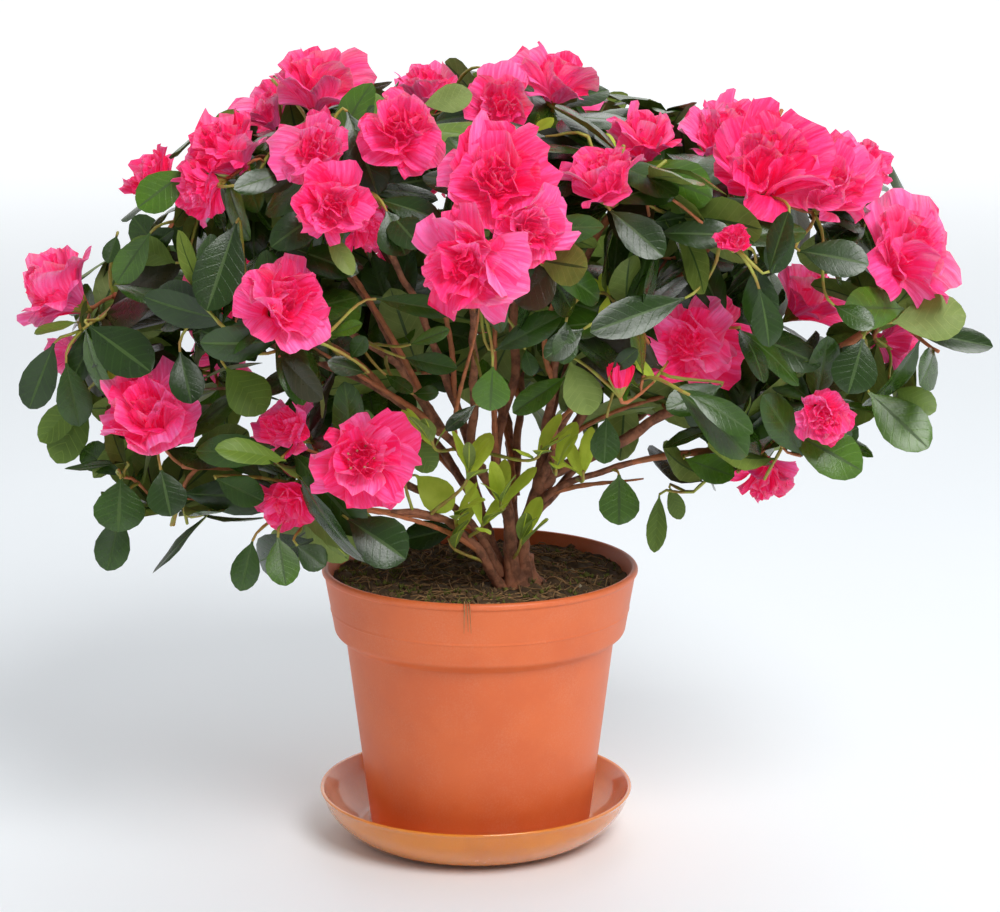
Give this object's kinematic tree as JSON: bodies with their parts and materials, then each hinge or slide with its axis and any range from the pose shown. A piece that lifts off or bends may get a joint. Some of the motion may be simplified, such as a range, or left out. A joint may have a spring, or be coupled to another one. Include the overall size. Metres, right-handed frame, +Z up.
{
  "type": "potted azalea shrub",
  "caption": "Low spreading azalea shrub in bloom, rooted in the soil of a round tapered plastic pot with a collar, which stands in a flared saucer.",
  "frame": {"origin": "centre of the saucer's flat underside, on the pot's axis", "axes": "+Z up along the pot's axis, -Y towards the shrub's front, +X to the right as seen from the front"},
  "size_m": [0.4203, 0.348, 0.3499],
  "materials": {
    "saucer_plastic": "glossy honey-orange plastic",
    "pot_plastic": "satin terracotta-coloured plastic",
    "soil": "rough peaty soil",
    "bark": "rough brown bark",
    "foliage": "leathery dark green leaves with pink blooms"
  },
  "bodies": {
    "root": {"saucer": "saucer_plastic", "pot": "pot_plastic", "soil": "soil", "stems": "bark", "bough_far_right": "bark", "bough_low_right": "bark", "bough_right_front": "bark", "bough_centre_right": "bark", "bough_upper_right": "bark", "bough_back_right_high": "bark", "bough_back_right_low": "bark", "bough_top_centre": "bark", "bough_front_centre": "bark", "bough_centre_left": "bark", "bough_left_front": "bark", "bough_far_left": "bark", "bough_upper_left": "bark", "bough_low_left_front": "bark", "bough_low_left": "bark", "bough_back_left_low": "bark", "bough_back_left_high": "bark", "bough_back_centre": "bark", "bough_back_centre_high": "bark", "mass_far_right": "foliage", "mass_low_right": "foliage", "mass_right_front": "foliage", "mass_centre_right": "foliage", "mass_upper_right": "foliage", "mass_top_centre": "foliage", "mass_front_centre": "foliage", "mass_centre_left": "foliage", "mass_left_front": "foliage", "mass_upper_left": "foliage", "mass_far_left": "foliage", "mass_low_left": "foliage", "mass_low_left_front": "foliage", "mass_back_left_low": "foliage", "mass_back_left_high": "foliage", "mass_back_centre": "foliage", "mass_back_centre_high": "foliage", "mass_back_right_high": "foliage", "mass_back_right_low": "foliage"}
  },
  "joints": []
}
